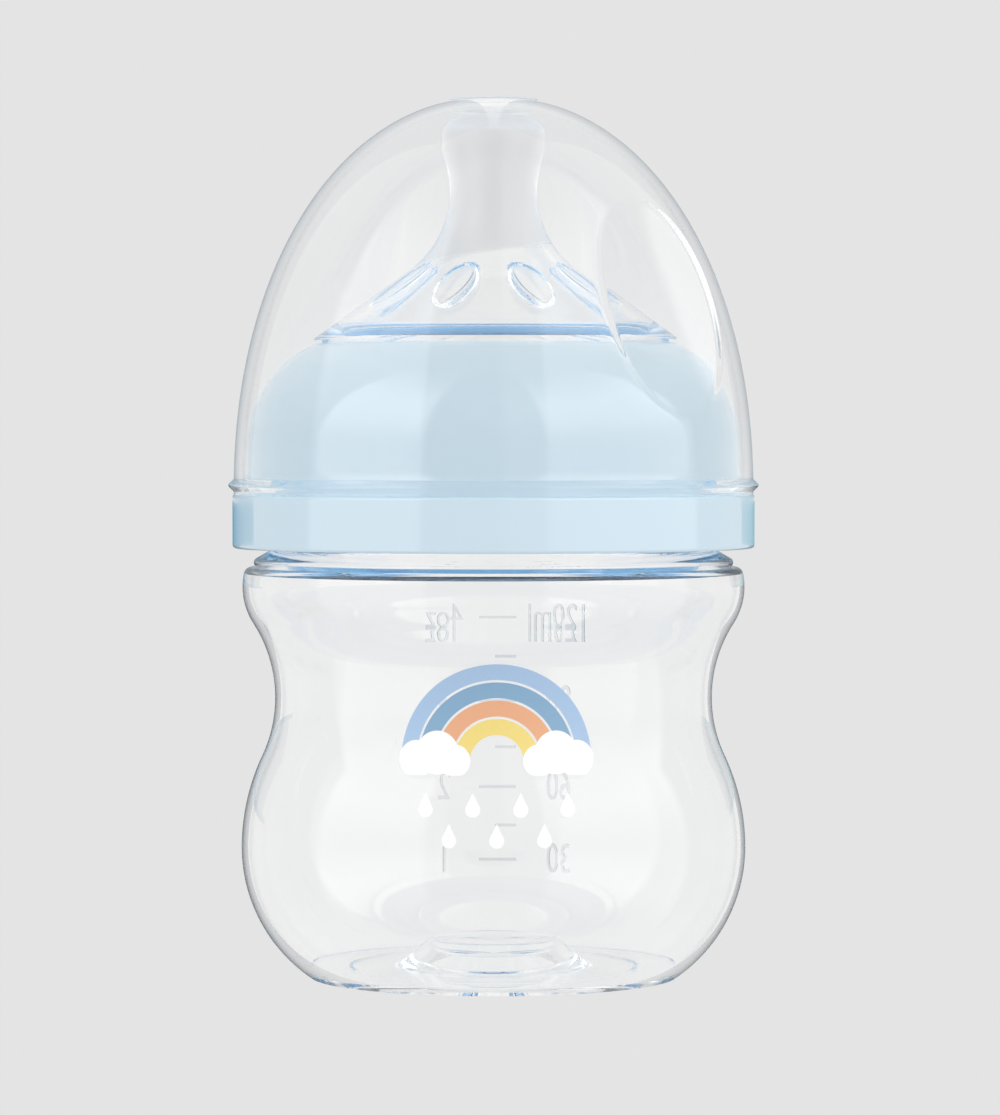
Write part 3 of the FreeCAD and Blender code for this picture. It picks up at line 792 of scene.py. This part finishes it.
def print_meshes():
    """The printed front, one mesh for each ink, by ink name."""
    for number, name in enumerate(RAINBOW_INKS):
        outer = RAINBOW_R - number * (STRIPE + STRIPE_GAP)
        yield name, wrapped(slab([half_ring(outer, outer - STRIPE)], INK_FILM), FRONT, CONTACT_GAP)
    clouds = slab([cloud(-1), cloud(1)], INK_FILM)
    yield "white_clouds", wrapped(clouds, FRONT, CONTACT_GAP + INK_FILM + CONTACT_GAP)
    drops = slab([drop(x, y) for y, row in DROP_ROWS for x in row], INK_FILM)
    yield "white_rain", wrapped(drops, FRONT, CONTACT_GAP)


# Finishes, as linear colours
CLEAR = (0.988, 0.991, 0.991)
FROSTED = (0.895, 0.895, 0.9)
# Greyer clear plastic for the volume scale: painted shade that makes its lines and figures show darker
# than the wall.
SCALE_SHADED_CLEAR = (0.80, 0.82, 0.84)
# The three edge colours are painted shade, mixed in where clear walls turn from view.
BODY_EDGE_SHADE = (0.40, 0.45, 0.50)
CAP_EDGE_SHADE = (0.60, 0.61, 0.62)
SILICONE_EDGE_SHADE = (0.38, 0.39, 0.4)
BLUE = (0.54, 0.67, 0.75)
# A deeper blue, both for the faint flow pattern and as painted shade on the collar's inner faces.
FLOW_AND_SHADE_BLUE = (0.28, 0.57, 0.84)
INKS = {
    "sky": (0.36, 0.51, 0.71),
    "denim": (0.22, 0.38, 0.55),
    "peach": (0.76, 0.39, 0.22),
    "straw": (0.82, 0.65, 0.20),
    "white_clouds": (0.92, 0.92, 0.92),
    "white_rain": (0.92, 0.92, 0.92),
}
INK_SHADE = 0.95

# How far each finish bends light
CLEAR_IOR = 1.37
SILICONE_IOR = 1.34
BLUE_IOR = 1.8

# Roughness, as one value or a range
CLEAR_ROUGHNESS = (0.0, 0.03)
PAD_ROUGHNESS = 0.4
SILICONE_ROUGHNESS = 0.03
FROST_ROUGHNESS = 0.25
BLUE_ROUGHNESS = (0.05, 0.09)
INK_ROUGHNESS = (0.3, 0.45)

# Noise patterns in waves to the metre, and the values between which most of a pattern lies
CLEAR_GLOSS = {"scale": 60, "detail": 2}
CLEAR_RIPPLE = {"scale": 70, "detail": 1}
SILICONE_GRAIN = {"scale": 900, "detail": 3}
BLUE_FLOW = {"scale": 45, "detail": 3}
BLUE_GLOSS = {"scale": 180, "detail": 3}
BLUE_RIPPLE = {"scale": 30, "detail": 1}
INK_GRAIN = {"scale": 2500, "detail": 2}
INK_GLOSS = {"scale": 1800, "detail": 2}
PATTERN_LOW = 0.3
PATTERN_HIGH = 0.7
FLOW_SHARE = 0.06

# Relief of those patterns, with its height in metres
CLEAR_RELIEF = {"strength": 0.05, "distance": 0.0004}
SILICONE_RELIEF = {"strength": 0.03, "distance": 0.0001}
BLUE_RELIEF = {"strength": 0.03, "distance": 0.0005}
INK_RELIEF = {"strength": 0.05, "distance": 0.00005}

# Frost on the nipple: its lowest level on the axis, its soft edge and the slope of its line
FROST_Z = 94.4
FROST_FADE = 0.5
FROST_SLOPE = -0.15

# Painted shade on the edges of clear pieces: how far a wall turns from view, and how level a face lies
EDGE_BLEND = 0.5
EDGE_START = 0.78
EDGE_END = 0.96
LEVEL_START = 0.5
LEVEL_END = 0.9

# Places of a mix node's colour sockets
MIX_FIRST, MIX_SECOND, MIX_RESULT = 6, 7, 2


def shader(name):
    """A new material, its node tree and its main shader."""
    material = bpy.data.materials.new(name)
    material.use_nodes = True
    tree = material.node_tree
    return material, tree, tree.nodes["Principled BSDF"]


def coordinates(tree, kind):
    """A point's place, or a direction, in one kind of texture coordinates."""
    return tree.nodes.new("ShaderNodeTexCoord").outputs[kind]


def split(tree, vector):
    """The X, Y and Z of a vector."""
    node = tree.nodes.new("ShaderNodeSeparateXYZ")
    tree.links.new(vector, node.inputs["Vector"])
    return node.outputs


def noise(tree, scale, detail):
    """A noise pattern fixed to the object."""
    pattern = tree.nodes.new("ShaderNodeTexNoise")
    pattern.inputs["Scale"].default_value = scale
    pattern.inputs["Detail"].default_value = detail
    tree.links.new(coordinates(tree, "Object"), pattern.inputs["Vector"])
    return pattern.outputs["Fac"]


def spread(tree, source, low, high):
    """A pattern's values moved to a range."""
    node = tree.nodes.new("ShaderNodeMapRange")
    node.inputs["From Min"].default_value = PATTERN_LOW
    node.inputs["From Max"].default_value = PATTERN_HIGH
    node.inputs["To Min"].default_value = low
    node.inputs["To Max"].default_value = high
    tree.links.new(source, node.inputs["Value"])
    return node.outputs["Result"]


def bumped(tree, source, main, strength, distance):
    """A pattern as a relief on the main shader."""
    node = tree.nodes.new("ShaderNodeBump")
    node.inputs["Strength"].default_value = strength
    node.inputs["Distance"].default_value = distance
    tree.links.new(source, node.inputs["Height"])
    tree.links.new(node.outputs["Normal"], main.inputs["Normal"])


def mixed(tree, source, first, second):
    """A change from one colour to another by a pattern; a colour may be a mix itself."""
    node = tree.nodes.new("ShaderNodeMix")
    node.data_type = "RGBA"
    for place, colour in ((MIX_FIRST, first), (MIX_SECOND, second)):
        if isinstance(colour, bpy.types.NodeSocket):
            tree.links.new(colour, node.inputs[place])
        else:
            node.inputs[place].default_value = (*colour, 1)
    tree.links.new(source, node.inputs["Factor"])
    return node.outputs[MIX_RESULT]


def tinted(tree, source, first, second, main):
    """A pattern as a change between two colours of the main shader."""
    tree.links.new(mixed(tree, source, first, second), main.inputs["Base Color"])


def maths(tree, operation, *values):
    """The result of a calculation on sockets and plain numbers."""
    node = tree.nodes.new("ShaderNodeMath")
    node.operation = operation
    for socket, value in zip(node.inputs, values):
        if isinstance(value, (int, float)):
            socket.default_value = value
        else:
            tree.links.new(value, socket)
    return node.outputs["Value"]


def ramp(tree, source, start, end):
    """A smooth change from 0 to 1 over a range of the source."""
    node = tree.nodes.new("ShaderNodeMapRange")
    node.interpolation_type = "SMOOTHSTEP"
    node.inputs["From Min"].default_value = start
    node.inputs["From Max"].default_value = end
    tree.links.new(source, node.inputs["Value"])
    return node.outputs["Result"]


def edge_shade_mask(tree):
    """1 where an upright wall turns away from view, and 0 elsewhere: where shade is painted along the
    outlines of clear pieces.
    """
    weight = tree.nodes.new("ShaderNodeLayerWeight")
    weight.inputs["Blend"].default_value = EDGE_BLEND
    turned = ramp(tree, weight.outputs["Facing"], EDGE_START, EDGE_END)
    normal = split(tree, tree.nodes.new("ShaderNodeNewGeometry").outputs["Normal"])
    lying = ramp(tree, maths(tree, "ABSOLUTE", normal["Z"]), LEVEL_START, LEVEL_END)
    return maths(tree, "MULTIPLY", turned, maths(tree, "SUBTRACT", 1, lying))


def clear_plastic(name, tint, edge_shade):
    """Clear moulded plastic with shade painted along its outlines, a faint ripple and a matt pad on the
    cap.
    """
    material, tree, main = shader(name)
    tinted(tree, edge_shade_mask(tree), tint, edge_shade, main)
    main.inputs["Transmission Weight"].default_value = 1.0
    main.inputs["IOR"].default_value = CLEAR_IOR
    height = split(tree, coordinates(tree, "Object"))["Z"]
    matt = maths(tree, "GREATER_THAN", height, (CAP_PAD_Z - CAP_PAD_SIDE) * MM)
    gloss = spread(tree, noise(tree, **CLEAR_GLOSS), *CLEAR_ROUGHNESS)
    roughness = maths(tree, "MULTIPLY_ADD", matt, PAD_ROUGHNESS, gloss)
    tree.links.new(roughness, main.inputs["Roughness"])
    bumped(tree, noise(tree, **CLEAR_RIPPLE), main, **CLEAR_RELIEF)
    return material


def silicone():
    """Clear silicone with shade painted along its outlines, frosted by its mould towards the nipple, up
    from a slanting line.
    """
    material, tree, main = shader("silicone")
    place = split(tree, coordinates(tree, "Object"))
    slant = maths(tree, "MULTIPLY_ADD", place["X"], FROST_SLOPE, place["Z"])
    frosted = ramp(tree, slant, FROST_Z * MM, (FROST_Z + FROST_FADE) * MM)
    tinted(tree, edge_shade_mask(tree), mixed(tree, frosted, CLEAR, FROSTED), SILICONE_EDGE_SHADE, main)
    main.inputs["Transmission Weight"].default_value = 1.0
    main.inputs["IOR"].default_value = SILICONE_IOR
    roughness = maths(tree, "MULTIPLY_ADD", frosted, FROST_ROUGHNESS, SILICONE_ROUGHNESS)
    tree.links.new(roughness, main.inputs["Roughness"])
    bumped(tree, noise(tree, **SILICONE_GRAIN), main, **SILICONE_RELIEF)
    return material


def shade_facing_axis(tree):
    """1 on faces that look towards the bottle's axis, and 0 elsewhere: where a deeper blue is painted as
    shade inside the collar.
    """
    surface = tree.nodes.new("ShaderNodeNewGeometry")
    from_axis = tree.nodes.new("ShaderNodeVectorMath")
    from_axis.operation = "MULTIPLY"
    from_axis.inputs[1].default_value = (1, 1, 0)
    tree.links.new(surface.outputs["Position"], from_axis.inputs[0])
    outward = tree.nodes.new("ShaderNodeVectorMath")
    outward.operation = "DOT_PRODUCT"
    tree.links.new(from_axis.outputs["Vector"], outward.inputs[0])
    tree.links.new(surface.outputs["Normal"], outward.inputs[1])
    return maths(tree, "LESS_THAN", outward.outputs["Value"], 0)


def blue_plastic():
    """Pale blue moulded plastic, glossy, with a faint flow pattern and a deeper blue painted as shade
    inside.
    """
    material, tree, main = shader("blue_plastic")
    flow = maths(tree, "MULTIPLY", noise(tree, **BLUE_FLOW), FLOW_SHARE)
    # The flow moves the colour a little towards the deeper blue; the inner faces take it fully as painted
    # shade.
    tinted(tree, maths(tree, "MAXIMUM", flow, shade_facing_axis(tree)), BLUE, FLOW_AND_SHADE_BLUE, main)
    roughness = spread(tree, noise(tree, **BLUE_GLOSS), *BLUE_ROUGHNESS)
    tree.links.new(roughness, main.inputs["Roughness"])
    main.inputs["IOR"].default_value = BLUE_IOR
    bumped(tree, noise(tree, **BLUE_RIPPLE), main, **BLUE_RELIEF)
    return material


def ink(name):
    """Printed ink with a fine grain."""
    material, tree, main = shader("ink_" + name)
    shaded = [part * INK_SHADE for part in INKS[name]]
    tinted(tree, noise(tree, **INK_GRAIN), shaded, INKS[name], main)
    roughness = spread(tree, noise(tree, **INK_GLOSS), *INK_ROUGHNESS)
    tree.links.new(roughness, main.inputs["Roughness"])
    bumped(tree, noise(tree, **INK_GRAIN), main, **INK_RELIEF)
    return material


def put(thing, body, slot, *nodes):
    """Lets a piece ride on a body and stand for CAD nodes; only the blue collar's slot casts a shadow."""
    thing.visible_shadow = slot == "blue_collar"
    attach(thing, body)
    if nodes:
        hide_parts(*nodes)


def build():
    """Every piece of the bottle; all but the collar let light pass without a shadow."""
    body_plastic = clear_plastic("clear_body", CLEAR, BODY_EDGE_SHADE)
    # The volume scale's plastic is greyed as painted shade.
    shaded_scale_plastic = clear_plastic("clear_scale_shaded", SCALE_SHADED_CLEAR, BODY_EDGE_SHADE)
    cap_plastic = clear_plastic("clear_cap", CLEAR, CAP_EDGE_SHADE)
    rubber = silicone()
    put(piece("bottle_shell", bottle_mesh(), body_plastic), "bottle", "clear_body", "bottle")
    put(piece("teat_skin", teat_mesh(), rubber, TEAT_SHARP_DEGREES), "teat", "silicone", "teat")
    put(piece("collar_ring", collar_mesh(), blue_plastic()), "collar", "blue_collar", "collar")
    put(piece("cap_dome", cap_mesh(), cap_plastic), "cap", "clear_cap", "dome_cap")
    for number, side in enumerate((-1, 1)):
        put(piece(f"teat_vent_{number}", vent_mesh(side), rubber), "teat", "silicone")
    for number, mesh in enumerate(scale_meshes()):
        put(piece(f"scale_{number}", mesh, shaded_scale_plastic), "bottle", "clear_body")
    for name, mesh in print_meshes():
        put(piece("print_" + name, mesh, ink(name)), "bottle", "clear_body")


# Levels of light: behind the bottle, all round it and from the floor
BACKGROUND = 0.776
SURROUND = 0.86
FLOOR_LIGHT = 0.84
FIRST_BOUNCE = 0.5

# The surround dims over the horizon and brightens overhead, by how steeply a direction rises
BACKDROP_LOW = -0.01
BACKDROP_HIGH = 0.06
BACKDROP_FALL = 0.06
CEILING_LOW = 0.25
CEILING_HIGH = 0.6
CEILING_GAIN = 0.15

# Softboxes: degrees from the camera to its right, the level that reflections see and the light given
SOFTBOXES = (
    {"name": "softbox_left", "from": -88, "to": -32, "seen": 1.52, "given": 0.9},
    {"name": "softbox_right_inner", "from": 5, "to": 24, "seen": 1.0, "given": 0.52},
    {"name": "softbox_right", "from": 24, "to": 100, "seen": 1.52, "given": 0.9},
)
SOFTBOX_BLUR = math.radians(2.0)
SOFTBOX_LOW = -0.5
SOFTBOX_HIGH = 0.85
SOFTBOX_FADE = 0.2
SOFTBOX_LIFT = 1.0
LIFT_LOW = 0.05
LIFT_HIGH = 0.45

# Lamps of the softboxes, in metres
SOFTBOX_DISTANCE = 0.8
SOFTBOX_HEIGHT = 1.1
SOFTBOX_MIDDLE_Z = 0.25

# Flags behind the bottle's sides: degrees, three layers of levels in metres, and linear colours
BODY_LAYER = (-1.5, 0.039)
NECK_LAYER = (0.04, 0.054)
TOP_LAYER = (0.055, 1.5)
FLAGS = (
    {"name": "flag_left", "from": -177, "to": -148, "layer": BODY_LAYER, "tone": (0.06, 0.08, 0.1)},
    {"name": "flag_right", "from": 152, "to": 177, "layer": BODY_LAYER, "tone": (0.12, 0.14, 0.16)},
    {"name": "flag_left_blue", "from": -177, "to": -128, "layer": NECK_LAYER, "tone": (0.0, 0.22, 0.38)},
    {"name": "flag_right_blue", "from": 138, "to": 177, "layer": NECK_LAYER, "tone": (0.15, 0.42, 0.5)},
    {"name": "flag_left_high", "from": -177, "to": -132, "layer": TOP_LAYER, "tone": (0.33, 0.39, 0.44)},
    {"name": "flag_right_high", "from": 136, "to": 177, "layer": TOP_LAYER, "tone": (0.37, 0.42, 0.46)},
)
FLAG_DISTANCE = 0.6

# Floor, in metres
FLOOR_DROP = 0.00005
FLOOR_R = 3.0
FLOOR_SIDES = 64


def window(tree, source, low, high, blur):
    """1 inside a range of the source, 0 outside, with soft ends."""
    rise = ramp(tree, source, low - blur, low + blur)
    fall = ramp(tree, source, high - blur, high + blur)
    return maths(tree, "SUBTRACT", rise, fall)


def reflected_studio(tree, way, even):
    """What glossy faces mirror: tall softboxes, as ranges of the azimuth, on the even surround."""
    azimuth = maths(tree, "ARCTAN2", way["X"], maths(tree, "MULTIPLY", way["Y"], -1))
    tall = window(tree, way["Z"], SOFTBOX_LOW, SOFTBOX_HIGH, SOFTBOX_FADE)
    lift = ramp(tree, way["Z"], LIFT_LOW, LIFT_HIGH)
    tall = maths(tree, "MULTIPLY", tall, maths(tree, "MULTIPLY_ADD", lift, SOFTBOX_LIFT, 1))
    light = even
    for box in SOFTBOXES:
        first, last = math.radians(box["from"]), math.radians(box["to"])
        column = window(tree, azimuth, first, last, SOFTBOX_BLUR)
        shape = maths(tree, "MULTIPLY", column, tall)
        gain = maths(tree, "MULTIPLY", shape, box["seen"] - SURROUND)
        light = maths(tree, "ADD", gain, light)
    return light


def chosen(tree, choice, otherwise, value):
    """One level where the choice is 1, and another elsewhere."""
    step = maths(tree, "SUBTRACT", value, otherwise)
    return maths(tree, "MULTIPLY_ADD", step, choice, otherwise)


def surround():
    """The world: flat to the camera, light from all round, and softboxes in reflections only."""
    world = bpy.data.worlds.new("studio")
    world.use_nodes = True
    bpy.context.scene.world = world
    world.cycles.sampling_method = "MANUAL"
    tree = world.node_tree
    paths = tree.nodes.new("ShaderNodeLightPath")
    mirrored = maths(tree, "GREATER_THAN", paths.outputs["Glossy Depth"], FIRST_BOUNCE)
    way = split(tree, coordinates(tree, "Generated"))
    above = ramp(tree, way["Z"], BACKDROP_LOW, BACKDROP_HIGH)
    even = maths(tree, "MULTIPLY_ADD", above, -BACKDROP_FALL, SURROUND)
    ceiling = ramp(tree, way["Z"], CEILING_LOW, CEILING_HIGH)
    even = maths(tree, "MULTIPLY_ADD", ceiling, CEILING_GAIN, even)
    light = chosen(tree, mirrored, even, reflected_studio(tree, way, even))
    light = chosen(tree, paths.outputs["Is Camera Ray"], light, BACKGROUND)
    tree.links.new(light, tree.nodes["Background"].inputs["Color"])


def even_glow(name):
    """A stage material that glows evenly, its node tree and the socket of its colour."""
    material = bpy.data.materials.new(name)
    material.use_nodes = True
    tree = material.node_tree
    tree.nodes.clear()
    glow = tree.nodes.new("ShaderNodeEmission")
    out = tree.nodes.new("ShaderNodeOutputMaterial")
    tree.links.new(glow.outputs["Emission"], out.inputs["Surface"])
    return material, tree, glow.inputs["Color"]


def card(name, corners, material):
    """A flat stage card."""
    mesh = bpy.data.meshes.new(name)
    mesh.from_pydata(corners, [], [range(len(corners))])
    mesh.materials.append(material)
    thing = bpy.data.objects.new(name, mesh)
    bpy.context.scene.collection.objects.link(thing)
    thing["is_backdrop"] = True
    return thing


def compass(azimuth, distance, height):
    """A point of the studio; azimuth 0 is towards the camera, and a quarter turn on is its right."""
    return (distance * math.sin(azimuth), -distance * math.cos(azimuth), height)


def floor():
    """The pale floor, which the clear pieces neither mirror nor bend."""
    turns = [2 * math.pi * step / FLOOR_SIDES for step in range(FLOOR_SIDES)]
    material, tree, colour = even_glow("pale_floor")
    paths = tree.nodes.new("ShaderNodeLightPath")
    tree.links.new(chosen(tree, paths.outputs["Is Camera Ray"], FLOOR_LIGHT, BACKGROUND), colour)
    thing = card("floor", [compass(turn, FLOOR_R, -FLOOR_DROP) for turn in turns], material)
    thing.visible_glossy = False
    thing.visible_transmission = False


def flag(place):
    """A dark, blue or grey card behind the bottle's side that only reflections show."""
    first, last = math.radians(place["from"]), math.radians(place["to"])
    low, high = place["layer"]
    corners = [compass(side, FLAG_DISTANCE, low) for side in (first, last)]
    corners += [compass(side, FLAG_DISTANCE, high) for side in (last, first)]
    material, _, colour = even_glow(place["name"])
    colour.default_value = (*place["tone"], 1)
    thing = card(place["name"], corners, material)
    thing.visible_camera = False
    thing.visible_transmission = False


def softbox(box):
    """One flat rectangular lamp that fills a range of azimuths and lights the coloured pieces."""
    first, last = math.radians(box["from"]), math.radians(box["to"])
    width = 2 * SOFTBOX_DISTANCE * math.tan((last - first) / 2)
    light = bpy.data.lights.new(box["name"], "AREA")
    light.shape = "RECTANGLE"
    light.size = width
    light.size_y = SOFTBOX_HEIGHT
    light.energy = box["given"] * math.pi * width * SOFTBOX_HEIGHT
    thing = bpy.data.objects.new(box["name"], light)
    thing.location = compass((first + last) / 2, SOFTBOX_DISTANCE, SOFTBOX_MIDDLE_Z)
    aim = Vector((0, 0, SOFTBOX_MIDDLE_Z)) - thing.location
    thing.rotation_euler = aim.to_track_quat("-Z", "Y").to_euler()
    thing.visible_camera = False
    thing.visible_glossy = False
    thing.visible_transmission = False
    bpy.context.scene.collection.objects.link(thing)


def studio():
    """Pale floor, surround, softboxes beside the camera and flags behind the bottle's sides."""
    surround()
    floor()
    for place in FLAGS:
        flag(place)
    for box in SOFTBOXES:
        softbox(box)


# Camera: places in metres, lens and sensor in millimetres
CAMERA_PLACE = (0.0, -0.650, 0.0719)
CAMERA_AIM = (0.00085, 0.0, 0.0549)
CAMERA_LENS = 160.2
CAMERA_SENSOR = 36.0
CAMERA_NEAR = 0.05
CAMERA_FAR = 20.0


def camera():
    """The photograph's viewpoint."""
    lens = bpy.data.cameras.new("camera")
    lens.lens = CAMERA_LENS
    lens.sensor_width = CAMERA_SENSOR
    lens.clip_start = CAMERA_NEAR
    lens.clip_end = CAMERA_FAR
    thing = bpy.data.objects.new("camera", lens)
    thing.location = CAMERA_PLACE
    aim = Vector(CAMERA_AIM) - Vector(CAMERA_PLACE)
    thing.rotation_euler = aim.to_track_quat("-Z", "Y").to_euler()
    bpy.context.scene.collection.objects.link(thing)
    bpy.context.scene.camera = thing


# How often a ray may pass or bounce off the clear walls
LIGHT_BOUNCES = 128


def light_paths():
    """Enough bounces for light to pass all the clear walls, and plain colours."""
    scene = bpy.context.scene
    scene.cycles.max_bounces = LIGHT_BOUNCES
    scene.cycles.transmission_bounces = LIGHT_BOUNCES
    scene.cycles.glossy_bounces = LIGHT_BOUNCES
    scene.cycles.blur_glossy = 0.0
    scene.cycles.use_denoising = True
    scene.view_settings.view_transform = "Standard"


build()
studio()
camera()
light_paths()

visual_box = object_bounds()
boxes = {"cad": cad_box, "visual": visual_box}
{name: [list(corner) for corner in box] for name, box in boxes.items()}
